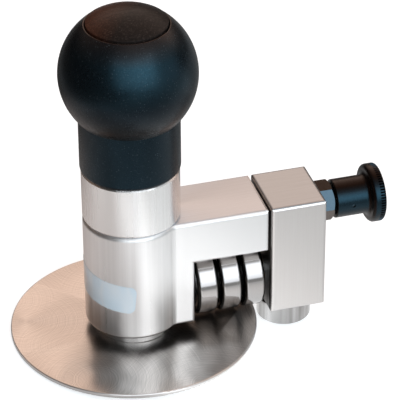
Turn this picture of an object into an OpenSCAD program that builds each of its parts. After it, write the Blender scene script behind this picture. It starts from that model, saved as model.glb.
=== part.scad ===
// Sheet metal edge bender, a hand tool: sheet lies on the disc, runs under the
// three top rollers, and the edge roller in the end block folds its edge over the rim.
// Millimetres. The origin is the middle of the disc's underside, +Z points up the
// spindle to the grip and +X runs along the arm to the end block.

/* [Disc] */
// Diameter of the forming disc
disc_d = 102.6; // [90:0.2:120]
// Thickness of the forming disc
disc_t = 2; // [2:0.25:4]
// Rounding of the disc's rim
rim_r = 0.6; // [0.2:0.1:0.9]
// Diameter of the hub on the disc
hub_d = 32; // [30:1:36]
// Radius of the circle of disc screws
disc_screw_r = 11; // [9:0.5:12]

/* [Body and arm] */
// Diameter of the round body
body_d = 40; // [39:0.5:48]
// Height of the body and of the arm's foot
body_h = 49.3; // [46:0.1:60]
// Height from the disc's top to the body's underside
throat_h = 4.4; // [4:0.1:10]
// Width of the arm across Y
arm_w = 29.4; // [26:0.2:34]
// Thickness of the arm
arm_t = 20.2; // [17:0.2:21]
// Distance from the spindle axis to the foot's face
foot_x = 22.5; // [22:0.5:26]
// Length of arm past the last top roller
arm_over = 1.2; // [0.8:0.1:3]
// Rounding of the long edges
edge_r = 1.8; // [0.5:0.1:1.8]
// Rounding of the arm's end edges
end_r = 1.4; // [0.3:0.1:1.6]
// Fillet between the round body and the arm
blend_r = 4; // [3:0.5:12]

/* [Collar and grip] */
// Height of the collar
collar_h = 22.5; // [22:0.5:30]
// Overhang of the grip's neck past the collar
neck_over = 0.45; // [0:0.05:1]
// Diameter of the grip's ball
ball_d = 55.6; // [52:0.2:60]
// Height of the ball's middle above the collar
ball_rise = 42.7; // [38:0.1:46]
// Diameter of the cap in the grip's top
cap_d = 32.6; // [28:0.2:34]
// Radius of the cap's dome
cap_dome_r = 29; // [26:0.5:40]
// Seam between the cap and the grip
cap_seam = 0.3; // [0.15:0.05:0.5]
// Rounding of the grip's lip round the cap
lip_r = 0.4; // [0.3:0.1:1]

/* [Top rollers] */
// Outside diameter of a top roller
roller_d = 30; // [29:0.5:31]
// Width of a top roller
roller_w = 9; // [8:0.5:10]
// Thickness of the shims between top rollers
shim_t = 1; // [0.5:0.1:1.5]
// Height of the sheet gap over the disc
sheet_gap = 1.5; // [1:0.1:2.5]
// Diameter of the rollers' axle
axle_d = 10; // [9:0.5:10]

/* [End block] */
// Thickness of the end block along X
block_t = 24; // [22:0.5:28]
// Gap between the arm and the end block
block_gap = 0.8; // [0.6:0.1:1.2]
// Height of the block's underside above the disc's top
block_lift = 2.6; // [2:0.1:4]
// Rounding of the end block's edges
block_r = 1.6; // [0.3:0.1:1.8]
// Outside diameter of the bronze bush
bush_d = 14; // [13:0.5:15]

/* [Edge roller] */
// Diameter of the edge roller
edge_d = 22.8; // [21.5:0.1:24]
// Height of the edge roller
edge_h = 9.6; // [9.4:0.1:12]
// Gap between the disc's rim and the edge roller
rim_gap = 2.8; // [2:0.1:5]

/* [Index plunger] */
// Distance from the block's top to the plunger's axis
plunger_drop = 9.1; // [8.5:0.1:11]
// Diameter of the plunger's threaded barrel
barrel_d = 12; // [11.6:0.1:13]
// Width across the hexagon's flats
hex_af = 14.8; // [13:0.1:16]
// Length of the hexagon
hex_len = 6.7; // [4:0.1:8]
// Diameter of the index pin's nose
pin_d = 6; // [5.5:0.1:6.5]
// Diameter of the pull knob's sleeve
sleeve_d = 16.3; // [14:0.1:18]
// Diameter of the pull knob's flange
knob_d = 24.6; // [22:0.2:28]
// Number of grooves in the flange
knob_grooves = 66; // [40:1:70]
// Travel of the index pin when it is pulled
pull_travel = 6; // [4:0.5:7]

/* [Clearances] */
// Radial gap of pieces that stay fixed to each other
fit = 0.02; // [0.01:0.01:0.04]
// Radial gap of pieces that turn or slide on each other
run = 0.06; // [0.04:0.01:0.09]
// End gap between pieces that move past each other
end_gap = 0.1; // [0.08:0.01:0.2]
// Gap between the balls and their races
ball_gap = 0.12; // [0.08:0.01:0.15]

/* [Hidden] */
$fn = 96;
slop = 1;

// Heights of the main pieces
body_r = body_d / 2;
body_z0 = disc_t + throat_h;
body_z1 = body_z0 + body_h;
collar_z1 = body_z1 + collar_h;
arm_z0 = body_z1 - arm_t;
half_w = arm_w / 2;
blend_step = 0.45;

// Spindle bearings
sb_bore = 6;
sb_r = 14;
sb_w = 8;
sb_pitch = 10;
sb_ball = 2.38;
sb_in = 8.5;
sb_out = 11.5;
sb_n = 8;
clip_t = 1.2;
clip_land = 1;
clip_z0 = body_z0 + clip_land;
low_z0 = clip_z0 + clip_t;
low_z1 = low_z0 + sb_w;
spigot_h = 2;
up_z1 = body_z1 - spigot_h;
up_z0 = up_z1 - sb_w;
boss_r = 7.8;
hub_gap = 0.4;
nut_af = 18;
nut_t = 6;
spindle_top = up_z1 + nut_t + 1.5;
nest_r = 12.2;
nest_z1 = spindle_top + 1.5;

// Screws of the disc and the collar
disc_screw_d = 3;
disc_head_r = 2.8;
disc_head_h = 1.35;
disc_screw_len = 4.8;
disc_screw_n = 4;
collar_screw_d = 3;
collar_head_r = 2.75;
collar_head_h = 3;
collar_screw_r = body_r - 3.45;
collar_seat_z = body_z1 + 6;
collar_screw_len = 14;
collar_screw_n = 3;

// Grip and its bolt
collar_round = 1.3;
neck_r = body_r + neck_over;
neck_round = 1.6;
ball_r = ball_d / 2;
ball_z = collar_z1 + ball_rise;
cap_r = cap_d / 2;
recess_r = cap_r + cap_seam;
seam_z = ball_z + sqrt(ball_r * ball_r - recess_r * recess_r);
cap_depth = 4;
cap_proud = 0.4;
recess_z = seam_z - cap_depth;
cap_edge_z = seam_z + cap_proud;
cap_dome_z = cap_edge_z - sqrt(cap_dome_r * cap_dome_r - cap_r * cap_r);
seat_rise = 22;
seat_z = collar_z1 + seat_rise;
well_r = 10;
bolt_r = 5;
bolt_len = 35;
bolt_head_r = 8;
bolt_head_h = 10;
bolt_key_af = 8;
bolt_key_d = 5;
bolt_room = 0.3;
washer_room = 0.4;
washer_t = 2;
plug_h = 6;
cap_round = 0.25;
tap_depth = bolt_len - washer_t - seat_rise + slop;

// Top rollers, along X
roller_r = roller_d / 2;
roller_z = disc_t + sheet_gap + roller_r;
axle_r = axle_d / 2;
axle_collar_t = 1.5;
axle_collar_r = 7;
axle_shank_r = 4;
axle_shank = 7.5;
roller_x0 = foot_x + axle_collar_t;
roller_pitch = roller_w + shim_t;
roller_n = 3;
roller_x1 = roller_x0 + roller_n * roller_w + (roller_n - 1) * shim_t;
rb_pitch = 10;
rb_ball = 2.38;
rb_in = 8.3;
rb_out = 11.8;
rb_n = 8;
ring_round = 1.6;
cage_half = 1.1;
cage_back = 3;
cage_front = 0.6;
seal_t = 0.6;
seal_in = 0.35;

// End block and its pivot
arm_x1 = roller_x1 + arm_over;
block_x0 = arm_x1 + block_gap;
block_x1 = block_x0 + block_t;
block_z0 = disc_t + block_lift;
bush_r = bush_d / 2;
pocket_r = 10;
pocket_d = 4;
bush_x1 = block_x1 - pocket_d;
axle_x1 = bush_x1 + end_gap;
end_washer_r = 9;
end_washer_t = 1.5;
end_screw_r = 2.5;
end_screw_len = 12;
end_head_r = 4.25;
end_head_h = 2.1;

// Edge roller and its bearing
edge_x = disc_d / 2 + rim_gap + edge_d / 2;
edge_r1 = edge_d / 2;
edge_gap = 0.4;
edge_z1 = block_z0 - edge_gap;
edge_z0 = edge_z1 - edge_h;
eb_bore = 3;
eb_r = 9.5;
eb_w = 6;
eb_pitch = 6.25;
eb_ball = 1.75;
eb_in = 5.1;
eb_out = 7.5;
eb_n = 7;
eb_sink = 0.8;
eb_cage_half = 0.7;
eb_cage_back = 1.9;
eb_z1 = edge_z1 - eb_sink;
eb_z0 = eb_z1 - eb_w;
eb_lip_r = 8;
edge_head_r = 5;
edge_head_h = 2.4;
edge_thread = 5.2;

// Index plunger
plunger_z = body_z1 - plunger_drop;
barrel_r = barrel_d / 2;
barrel_len = 19;
barrel_x0 = block_x1 - barrel_len;
pin_r = pin_d / 2;
nose_gap = 0.3;
nose_x = arm_x1 + nose_gap;
nose_wall = 4;
pin_stop_x = barrel_x0 + nose_wall;
pin_head_r = 4.2;
pin_head_t = 2.5;
bore_r = 4.4;
tail_r = 2.5;
tail_wall = 5.7;
hex_x1 = block_x1 + hex_len;
bore_x1 = hex_x1 - tail_wall;
spring_x0 = pin_stop_x + run + pin_head_t;
spring_r = 3.45;
wire_r = 0.45;
spring_turns = 6;
knob_gap = 0.4;
knob_x0 = hex_x1 + knob_gap;
sleeve_r = sleeve_d / 2;
sleeve_len = 14.5;
flange_x0 = knob_x0 + sleeve_len;
flange_t = 5.6;
knob_r = knob_d / 2;
sleeve_blend = 1.9;
flange_back = 1.8;
flange_front = 1.1;
groove_w = 0.7;
groove_d = 1;
groove_len = 2.6;
tail_grip = 12.1;
cross_set = 6.9;
cross_x = knob_x0 + cross_set;
cross_r = 0.75;
cross_sink = 0.6;
socket_r = 5;
socket_len = 10;

// Shapes used by several pieces

// Rectangle with rounded corners, from its lower left corner
module soft_rect(w, h, r) {
  translate([r, 0]) square([w - 2 * r, h]);
  translate([0, r]) square([w, h - 2 * r]);
  for (x = [r, w - r], y = [r, h - r]) translate([x, y]) circle(r);
}

// Box between two corners, with one rounding along X and one on its ends
module soft_box(a, b, r, r_end) {
  d = b - a;
  translate(a) intersection() {
    linear_extrude(d[2]) soft_rect(d[0], d[1], r_end);
    translate([0, d[1], 0]) rotate([90, 0, 0]) linear_extrude(d[1]) soft_rect(d[0], d[2], r_end);
    rotate([90, 0, 90]) linear_extrude(d[0]) soft_rect(d[1], d[2], r);
  }
}

// Turns a piece built along Z so that it lies along X at a height
module along_x(x, z) {
  translate([x, 0, z]) rotate([0, 90, 0]) children();
}

// Plain tube along Z
module tube(r_in, r_out, h) {
  difference() {
    cylinder(r = r_out, h = h);
    translate([0, 0, -slop]) cylinder(r = r_in, h = h + 2 * slop);
  }
}

// Outer race centred on its middle plane, with a rounded outside
module outer_race(r_out, r_shoulder, w, pitch, groove, soft) {
  rotate_extrude() difference() {
    union() {
      translate([r_shoulder, -w / 2]) square([r_out - soft - r_shoulder, w]);
      translate([r_shoulder, soft - w / 2]) square([r_out - r_shoulder, w - 2 * soft]);
      for (s = [-1, 1]) translate([r_out - soft, s * (w / 2 - soft)]) circle(soft);
    }
    translate([pitch, 0]) circle(groove);
  }
}

// Inner race centred on its middle plane
module inner_race(r_bore, r_shoulder, w, pitch, groove) {
  rotate_extrude() difference() {
    translate([r_bore, -w / 2]) square([r_shoulder - r_bore, w]);
    translate([pitch, 0]) circle(groove);
  }
}

// Ring of balls round Z
module ball_ring(n, pitch, r) {
  for (i = [0 : n - 1]) rotate(i * 360 / n) translate([pitch, 0, 0]) sphere(r);
}

// Snap cage with one pocket for each ball
module snap_cage(n, pitch, r, half_t, back) {
  difference() {
    translate([0, 0, -back]) tube(pitch - half_t, pitch + half_t, back + cage_front);
    ball_ring(n, pitch, r + ball_gap);
  }
}

// Pair of seals near the two faces of a bearing
module seal_pair(r_in, r_out, w) {
  for (s = [0, 1]) mirror([0, 0, s]) translate([0, 0, w / 2 - seal_in - seal_t]) tube(r_in, r_out, seal_t);
}

// Socket screw along Z, head up, with the head's seat at zero
module socket_screw(r, len, head_r, head_h, key_af, key_d) {
  difference() {
    union() {
      translate([0, 0, -len]) cylinder(r = r, h = len + slop / 2);
      cylinder(r = head_r, h = head_h);
    }
    translate([0, 0, head_h - key_d]) cylinder(r = key_af / 2 / cos(30), h = key_d + slop, $fn = 6);
  }
}

// Body, arm and foot

// Fillet between the round body and one side of the arm, with soft ends
module blend() {
  cx = sqrt(pow(body_r + blend_r, 2) - pow(half_w + blend_r, 2));
  cy = half_w + blend_r;
  a = atan2(cy, cx) - blend_step / body_r * 180 / PI;
  far = body_r + blend_step / 2;
  difference() {
    translate([0, 0, body_z0]) linear_extrude(body_h)
      polygon([[0, 0], [cx - blend_step, 0], [cx - blend_step, half_w + blend_step / 2],
        [far * cos(a), far * sin(a)]]);
    translate([cx, cy, 0]) rotate_extrude() difference() {
      translate([0, body_z0 - slop]) square([blend_r + edge_r, body_h + 2 * slop]);
      translate([blend_r, body_z0 + edge_r]) square([2 * edge_r, body_h - 2 * edge_r]);
      for (z = [body_z0 + edge_r, body_z1 - edge_r]) translate([blend_r + edge_r, z]) circle(edge_r);
    }
  }
}

module body_arm() {
  color([0.86, 0.85, 0.83]) difference() {
    union() {
      rotate_extrude() translate([0, body_z0]) {
        square([body_r - edge_r, body_h]);
        translate([0, edge_r]) square([body_r, body_h - 2 * edge_r]);
        for (z = [edge_r, body_h - edge_r]) translate([body_r - edge_r, z]) circle(edge_r);
      }
      soft_box([0, -half_w, body_z0], [foot_x, half_w, body_z1], edge_r, end_r);
      soft_box([0, -half_w, arm_z0], [arm_x1, half_w, body_z1], edge_r, end_r);
      blend();
      mirror([0, 1, 0]) blend();
    }
    translate([0, 0, body_z0 - slop]) cylinder(r = sb_out, h = body_h + 2 * slop);
    translate([0, 0, body_z0 - slop]) cylinder(r = sb_r, h = low_z1 - body_z0 + slop);
    translate([0, 0, clip_z0]) cylinder(r = sb_r + 0.8, h = clip_t);
    translate([0, 0, up_z0]) cylinder(r = sb_r, h = body_z1 - up_z0 + slop);
    along_x(foot_x - axle_shank - 0.3, roller_z)
      cylinder(r = axle_shank_r + fit, h = axle_shank + 0.3 + slop);
    along_x(arm_x1 - socket_len, plunger_z) cylinder(r = socket_r + fit, h = socket_len + slop);
    for (i = [0 : collar_screw_n - 1]) rotate(90 + i * 360 / collar_screw_n)
      translate([collar_screw_r, 0, collar_seat_z - collar_screw_len - 0.5])
      cylinder(r = collar_screw_d / 2 + fit, h = collar_screw_len);
  }
}

// Collar and ball grip

module handle_collar() {
  color([0.82, 0.82, 0.82]) difference() {
    rotate_extrude() {
      translate([0, body_z1]) square([body_r - collar_round, collar_h]);
      translate([0, body_z1 + collar_round]) square([body_r, collar_h - collar_round - 0.5]);
      translate([body_r - collar_round, body_z1 + collar_round]) circle(collar_round);
      translate([0, body_z1 + collar_round])
        polygon([[0, 0], [body_r, 0], [body_r, collar_h - collar_round - 0.5],
          [body_r - 0.5, collar_h - collar_round], [0, collar_h - collar_round]]);
      translate([0, up_z1]) square([sb_r - fit, spigot_h + slop]);
    }
    translate([0, 0, up_z1 - slop]) cylinder(r = nest_r, h = nest_z1 - up_z1 + slop);
    translate([0, 0, collar_z1 - tap_depth]) cylinder(r = bolt_r + fit, h = tap_depth + slop);
    for (i = [0 : collar_screw_n - 1])
      rotate(90 + i * 360 / collar_screw_n) translate([collar_screw_r, 0, 0]) {
      translate([0, 0, body_z1 - slop]) cylinder(r = collar_screw_d / 2 + 0.1, h = collar_h);
      translate([0, 0, collar_seat_z]) cylinder(r = collar_head_r + 0.15, h = collar_h);
    }
  }
}

module collar_screws() {
  color([0.2, 0.2, 0.21]) for (i = [0 : collar_screw_n - 1]) rotate(90 + i * 360 / collar_screw_n)
    translate([collar_screw_r, 0, collar_seat_z])
    socket_screw(collar_screw_d / 2, collar_screw_len, collar_head_r, collar_head_h, 2.5, 1.6);
}

module ball_grip() {
  lip_x = recess_r + lip_r;
  lip_h = sqrt(pow(ball_r - lip_r, 2) - lip_x * lip_x);
  far = (ball_r + slop) / (ball_r - lip_r);
  color([0.08, 0.085, 0.09]) rotate_extrude() {
    translate([lip_x, ball_z + lip_h]) circle(lip_r);
    difference() {
      union() {
        intersection() {
          translate([0, ball_z]) circle(ball_r);
          translate([0, collar_z1]) square([2 * ball_r, ball_rise + 2 * ball_r]);
        }
        translate([0, collar_z1]) square([neck_r - neck_round, ball_rise]);
        translate([0, collar_z1 + neck_round]) square([neck_r, ball_rise - neck_round]);
        translate([neck_r - neck_round, collar_z1 + neck_round]) circle(neck_round);
      }
      translate([-slop, collar_z1 - slop]) square([bolt_r + bolt_room + slop, ball_rise]);
      translate([-slop, seat_z]) square([well_r + slop, ball_rise + ball_r]);
      translate([-slop, recess_z]) square([recess_r + slop, ball_r]);
      translate([0, ball_z]) polygon([[0, lip_h], [lip_x, lip_h], [far * lip_x, far * lip_h],
        [far * lip_x, 2 * ball_r], [0, 2 * ball_r]]);
    }
  }
}

module grip_cap() {
  turn_x = cap_r - cap_round;
  turn_h = sqrt(pow(cap_dome_r - cap_round, 2) - turn_x * turn_x);
  far = (cap_dome_r + slop) / (cap_dome_r - cap_round);
  color([0.12, 0.12, 0.12]) rotate_extrude() {
    translate([turn_x, cap_dome_z + turn_h]) circle(cap_round);
    difference() {
      intersection() {
        translate([0, cap_dome_z]) circle(cap_dome_r);
        translate([0, recess_z]) square([cap_r, ball_r]);
      }
      translate([0, cap_dome_z]) polygon([[turn_x, turn_h], [2 * cap_r, turn_h],
        [2 * cap_r, far * turn_h], [far * turn_x, far * turn_h]]);
    }
    translate([0, recess_z - plug_h]) square([well_r - fit, plug_h + slop]);
  }
}

module grip_washer() {
  color([0.7, 0.7, 0.72]) translate([0, 0, seat_z])
    tube(bolt_r + bolt_room, well_r - washer_room, washer_t);
}

module grip_bolt() {
  color([0.22, 0.22, 0.23]) translate([0, 0, seat_z + washer_t])
    socket_screw(bolt_r, bolt_len, bolt_head_r, bolt_head_h, bolt_key_af, bolt_key_d);
}

// Spindle with the forming disc

module spindle_outer_races() {
  color([0.75, 0.76, 0.78]) for (z = [low_z0, up_z0]) translate([0, 0, z + sb_w / 2])
    outer_race(sb_r - fit, sb_out, sb_w, sb_pitch, sb_ball + ball_gap, 0.4);
}

module spindle_inner_races() {
  color([0.75, 0.76, 0.78]) for (z = [low_z0, up_z0]) translate([0, 0, z + sb_w / 2])
    inner_race(sb_bore, sb_in, sb_w, sb_pitch, sb_ball + ball_gap);
}

module spindle_balls() {
  color([0.8, 0.8, 0.82]) for (z = [low_z0, up_z0]) translate([0, 0, z + sb_w / 2])
    ball_ring(sb_n, sb_pitch, sb_ball);
}

module spindle_cages() {
  color([0.5, 0.42, 0.3]) for (z = [low_z0, up_z0]) translate([0, 0, z + sb_w / 2])
    snap_cage(sb_n, sb_pitch, sb_ball, cage_half, cage_back);
}

module spindle_circlip() {
  color([0.25, 0.25, 0.26]) translate([0, 0, clip_z0]) rotate(70) difference() {
    union() {
      rotate_extrude(angle = 320) translate([sb_r - 2, 0]) square([2.7, clip_t]);
      for (a = [6, 314]) rotate(a) translate([sb_r - 2.4, 0, 0]) cylinder(r = 1.5, h = clip_t);
    }
    for (a = [6, 314]) rotate(a) translate([sb_r - 2.4, 0, -slop]) cylinder(r = 0.7, h = clip_t + 2 * slop);
  }
}

module disc_spindle() {
  color([0.78, 0.78, 0.79]) difference() {
    union() {
      rotate_extrude() translate([0, disc_t]) soft_rect(hub_d / 2, throat_h - hub_gap, 0.3);
      translate([0, 0, disc_t]) cylinder(r = hub_d / 2 - slop, h = throat_h - hub_gap);
      translate([0, 0, disc_t + slop]) cylinder(r = boss_r, h = low_z0 - disc_t - slop);
      translate([0, 0, disc_t + slop]) cylinder(r = sb_bore - fit, h = spindle_top - disc_t - slop);
    }
    for (i = [0 : disc_screw_n - 1]) rotate(45 + i * 360 / disc_screw_n) translate([disc_screw_r, 0, 0])
      cylinder(r = disc_screw_d / 2 + fit, h = disc_screw_len + 0.6);
  }
}

module spindle_sleeve() {
  color([0.7, 0.7, 0.71]) translate([0, 0, low_z1]) tube(sb_bore, sb_in - 0.4, up_z0 - low_z1);
}

module spindle_nut() {
  color([0.6, 0.6, 0.62]) translate([0, 0, up_z1]) difference() {
    cylinder(r = nut_af / 2 / cos(30), h = nut_t, $fn = 6);
    translate([0, 0, -slop]) cylinder(r = sb_bore, h = nut_t + 2 * slop);
  }
}

module forming_disc() {
  color([0.74, 0.73, 0.72]) difference() {
    union() {
      rotate_extrude() translate([0, 0]) {
        square([disc_d / 2 - rim_r, disc_t]);
        translate([0, rim_r]) square([disc_d / 2, disc_t - 2 * rim_r]);
        for (z = [rim_r, disc_t - rim_r]) translate([disc_d / 2 - rim_r, z]) circle(rim_r);
      }
    }
    for (i = [0 : disc_screw_n - 1]) rotate(45 + i * 360 / disc_screw_n) translate([disc_screw_r, 0, 0]) {
      translate([0, 0, -slop]) cylinder(r = disc_screw_d / 2 + 0.1, h = disc_t + 2 * slop);
      cylinder(r1 = disc_head_r + 0.1, r2 = disc_screw_d / 2 + 0.1, h = disc_head_h);
      translate([0, 0, -slop]) cylinder(r = disc_head_r + 0.1, h = slop);
    }
  }
}

module disc_screws() {
  color([0.3, 0.3, 0.31]) for (i = [0 : disc_screw_n - 1]) rotate(45 + i * 360 / disc_screw_n)
    translate([disc_screw_r, 0, 0.05]) difference() {
      union() {
        cylinder(r1 = disc_head_r, r2 = disc_screw_d / 2, h = disc_head_h);
        cylinder(r = disc_screw_d / 2, h = disc_screw_len);
      }
      translate([0, 0, -slop]) cylinder(r = 1 / cos(30), h = slop + 0.9, $fn = 6);
    }
}

// Top rollers on their axle

module roller_axle() {
  color([0.72, 0.72, 0.74]) difference() {
    union() {
      along_x(foot_x - axle_shank, roller_z) cylinder(r = axle_shank_r, h = axle_shank + slop);
      along_x(foot_x, roller_z) cylinder(r = axle_collar_r, h = axle_collar_t);
      along_x(foot_x, roller_z) cylinder(r = axle_r, h = axle_x1 - foot_x);
    }
    along_x(axle_x1 - end_screw_len, roller_z) cylinder(r = end_screw_r + fit, h = end_screw_len + slop);
  }
}

module roller_inner_races() {
  color([0.75, 0.76, 0.78]) for (i = [0 : roller_n - 1])
    along_x(roller_x0 + roller_w / 2 + i * roller_pitch, roller_z)
    inner_race(axle_r + fit, rb_in, roller_w, rb_pitch, rb_ball + ball_gap);
}

module roller_shims() {
  color([0.7, 0.7, 0.72]) {
    for (i = [1 : roller_n - 1]) along_x(roller_x0 + i * roller_pitch - shim_t, roller_z)
      tube(axle_r + fit, axle_collar_r, shim_t);
    along_x(roller_x1, roller_z) tube(axle_r + fit, axle_collar_r, block_x0 - end_gap - roller_x1);
  }
}

module top_roller(i) {
  color([0.84, 0.85, 0.87]) along_x(roller_x0 + roller_w / 2 + i * roller_pitch, roller_z)
    outer_race(roller_r, rb_out, roller_w, rb_pitch, rb_ball + ball_gap, ring_round);
}

module roller_seals(i) {
  color([0.06, 0.06, 0.06]) along_x(roller_x0 + roller_w / 2 + i * roller_pitch, roller_z)
    seal_pair(rb_in + ball_gap, rb_out, roller_w);
}

module roller_balls(i) {
  color([0.8, 0.8, 0.82]) along_x(roller_x0 + roller_w / 2 + i * roller_pitch, roller_z)
    ball_ring(rb_n, rb_pitch, rb_ball);
}

module roller_cage(i) {
  color([0.5, 0.42, 0.3]) along_x(roller_x0 + roller_w / 2 + i * roller_pitch, roller_z)
    snap_cage(rb_n, rb_pitch, rb_ball, cage_half, cage_back);
}

module top_roller_1() { top_roller(0); }
module top_roller_2() { top_roller(1); }
module top_roller_3() { top_roller(2); }
module roller_seals_1() { roller_seals(0); }
module roller_seals_2() { roller_seals(1); }
module roller_seals_3() { roller_seals(2); }
module roller_balls_1() { roller_balls(0); }
module roller_balls_2() { roller_balls(1); }
module roller_balls_3() { roller_balls(2); }
module roller_cage_1() { roller_cage(0); }
module roller_cage_2() { roller_cage(1); }
module roller_cage_3() { roller_cage(2); }

module axle_end_washer() {
  color([0.7, 0.7, 0.72]) along_x(axle_x1, roller_z) tube(end_screw_r + 0.15, end_washer_r, end_washer_t);
}

module axle_end_screw() {
  color([0.22, 0.22, 0.23]) along_x(axle_x1 + end_washer_t, roller_z)
    socket_screw(end_screw_r, end_screw_len, end_head_r, end_head_h, 3, 1.4);
}

// End block that swings on the axle

module end_block() {
  color([0.8, 0.79, 0.78]) difference() {
    soft_box([block_x0, -half_w, block_z0], [block_x1, half_w, body_z1], block_r, block_r);
    along_x(block_x0 - slop, roller_z) cylinder(r = bush_r + fit, h = block_t + 2 * slop);
    along_x(bush_x1, roller_z) cylinder(r = pocket_r, h = pocket_d + slop);
    along_x(block_x0 - slop, plunger_z) cylinder(r = pin_r + run, h = block_t);
    along_x(barrel_x0, plunger_z) cylinder(r = barrel_r + fit, h = barrel_len + slop);
    translate([edge_x, 0, block_z0 - slop]) cylinder(r = eb_bore + fit, h = edge_thread + slop);
  }
}

module pivot_bush() {
  color([0.7, 0.5, 0.27]) along_x(block_x0, roller_z) tube(axle_r + run, bush_r, bush_x1 - block_x0);
}

// Edge roller under the end block

module edge_roller() {
  color([0.8, 0.81, 0.83]) translate([edge_x, 0, edge_z0]) difference() {
    rotate_extrude() soft_rect(edge_r1, edge_h, 0.6);
    translate([0, 0, -slop]) cylinder(r = eb_lip_r, h = edge_h + 2 * slop);
    translate([0, 0, eb_z0 - edge_z0]) cylinder(r = eb_r, h = edge_h);
  }
}

module edge_outer_race() {
  color([0.75, 0.76, 0.78]) translate([edge_x, 0, eb_z0 + eb_w / 2])
    outer_race(eb_r - fit, eb_out, eb_w, eb_pitch, eb_ball + ball_gap, 0.3);
}

module edge_seals() {
  color([0.06, 0.06, 0.06]) translate([edge_x, 0, eb_z0 + eb_w / 2])
    seal_pair(eb_in + ball_gap, eb_out, eb_w);
}

module edge_balls() {
  color([0.8, 0.8, 0.82]) translate([edge_x, 0, eb_z0 + eb_w / 2]) ball_ring(eb_n, eb_pitch, eb_ball);
}

module edge_cage() {
  color([0.5, 0.42, 0.3]) translate([edge_x, 0, eb_z0 + eb_w / 2])
    snap_cage(eb_n, eb_pitch, eb_ball, eb_cage_half, eb_cage_back);
}

module edge_inner_race() {
  color([0.75, 0.76, 0.78]) translate([edge_x, 0, eb_z0 + eb_w / 2])
    inner_race(eb_bore + fit, eb_in, eb_w, eb_pitch, eb_ball + ball_gap);
}

module edge_spacer() {
  color([0.7, 0.7, 0.72]) translate([edge_x, 0, eb_z1]) tube(eb_bore + fit, eb_in - 0.4, block_z0 - eb_z1);
}

module edge_roller_screw() {
  color([0.22, 0.22, 0.23]) translate([edge_x, 0, eb_z0]) mirror([0, 0, 1])
    socket_screw(eb_bore, block_z0 + edge_thread - 0.3 - eb_z0, edge_head_r, edge_head_h, 4, 1.6);
}

// Index plunger

module index_socket() {
  color([0.5, 0.5, 0.52]) along_x(arm_x1 - socket_len, plunger_z) tube(pin_r + run, socket_r, socket_len);
}

module plunger_body() {
  color([0.2, 0.23, 0.26]) difference() {
    union() {
      along_x(barrel_x0, plunger_z) cylinder(r = barrel_r, h = barrel_len + slop);
      intersection() {
        along_x(block_x1, plunger_z) rotate(30) cylinder(r = hex_af / 2 / cos(30), h = hex_len, $fn = 6);
        along_x(block_x1, plunger_z) rotate_extrude() polygon([[0, 0], [hex_af, 0],
          [hex_af, hex_len - 1 - (hex_af - hex_af / 2) * tan(30)], [hex_af / 2, hex_len - 0.6],
          [hex_af / 2 - 0.6, hex_len], [0, hex_len]]);
      }
    }
    along_x(barrel_x0 - slop, plunger_z) cylinder(r = pin_r + run, h = barrel_len);
    along_x(pin_stop_x, plunger_z) cylinder(r = bore_r, h = bore_x1 - pin_stop_x);
    along_x(bore_x1 - slop, plunger_z) cylinder(r = tail_r + run, h = tail_wall + 2 * slop);
  }
}

module index_pin() {
  tail_x1 = knob_x0 + tail_grip;
  color([0.7, 0.7, 0.72]) difference() {
    union() {
      along_x(nose_x, plunger_z) cylinder(r1 = pin_r - 0.5, r2 = pin_r, h = 0.5);
      along_x(nose_x + 0.5, plunger_z) cylinder(r = pin_r, h = spring_x0 - 0.5 - nose_x - slop);
      along_x(pin_stop_x + run, plunger_z) cylinder(r = pin_head_r, h = pin_head_t);
      along_x(spring_x0 - slop, plunger_z) cylinder(r = tail_r, h = tail_x1 - spring_x0 + slop);
    }
    translate([cross_x, 0, plunger_z]) rotate([90, 0, 0])
      cylinder(r = cross_r + fit, h = 4 * tail_r, center = true);
  }
}

module plunger_spring() {
  coil_len = bore_x1 - spring_x0 - 2 * wire_r - 2 * end_gap;
  pitch = coil_len / spring_turns;
  steps = spring_turns * 8;
  pts = [for (i = [0 : steps], j = [0 : 5])
    let (a = i * 45, q = j * 60, d = spring_r + wire_r * cos(q))
    [spring_x0 + end_gap + wire_r + coil_len * i / steps + wire_r * sin(q),
      d * sin(a), plunger_z + d * cos(a)]];
  sides = [for (i = [0 : steps - 1], j = [0 : 5])
    [i * 6 + j, i * 6 + (j + 1) % 6, i * 6 + 6 + (j + 1) % 6, i * 6 + 6 + j]];
  ends = [[5, 4, 3, 2, 1, 0], [for (j = [0 : 5]) steps * 6 + j]];
  color([0.6, 0.6, 0.62]) polyhedron(pts, concat(sides, ends));
}

module pull_knob() {
  color([0.11, 0.13, 0.15]) difference() {
    along_x(knob_x0, plunger_z) difference() {
      rotate_extrude() difference() {
        union() {
          soft_rect(sleeve_r, sleeve_len + 2, 0.5);
          square([sleeve_r / 2, sleeve_len + 2]);
          translate([0, sleeve_len]) {
            square([knob_r - flange_back, flange_t]);
            translate([0, flange_back]) square([knob_r - flange_front, flange_t - flange_back]);
            translate([0, flange_back]) square([knob_r, flange_t - flange_back - flange_front]);
            translate([knob_r - flange_back, flange_back]) circle(flange_back);
            translate([knob_r - flange_front, flange_t - flange_front]) circle(flange_front);
          }
          square([sleeve_r / 2, sleeve_len + flange_t]);
          translate([sleeve_r - 1, sleeve_len - sleeve_blend]) square([sleeve_blend + 1, sleeve_blend + 2]);
        }
        translate([sleeve_r + sleeve_blend, sleeve_len - sleeve_blend]) circle(sleeve_blend);
      }
      translate([0, 0, -slop]) cylinder(r = tail_r + fit, h = tail_grip + slop + 0.2);
      for (i = [0 : knob_grooves - 1]) rotate(i * 360 / knob_grooves)
        translate([knob_r, 0, sleeve_len + flange_t - groove_len]) linear_extrude(groove_len + slop)
        polygon([[-groove_d, 0], [groove_d, -groove_w], [groove_d, groove_w]]);
    }
    translate([cross_x, 0, plunger_z]) rotate([90, 0, 0])
      cylinder(r = cross_r + fit, h = 4 * sleeve_r, center = true);
  }
}

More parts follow.
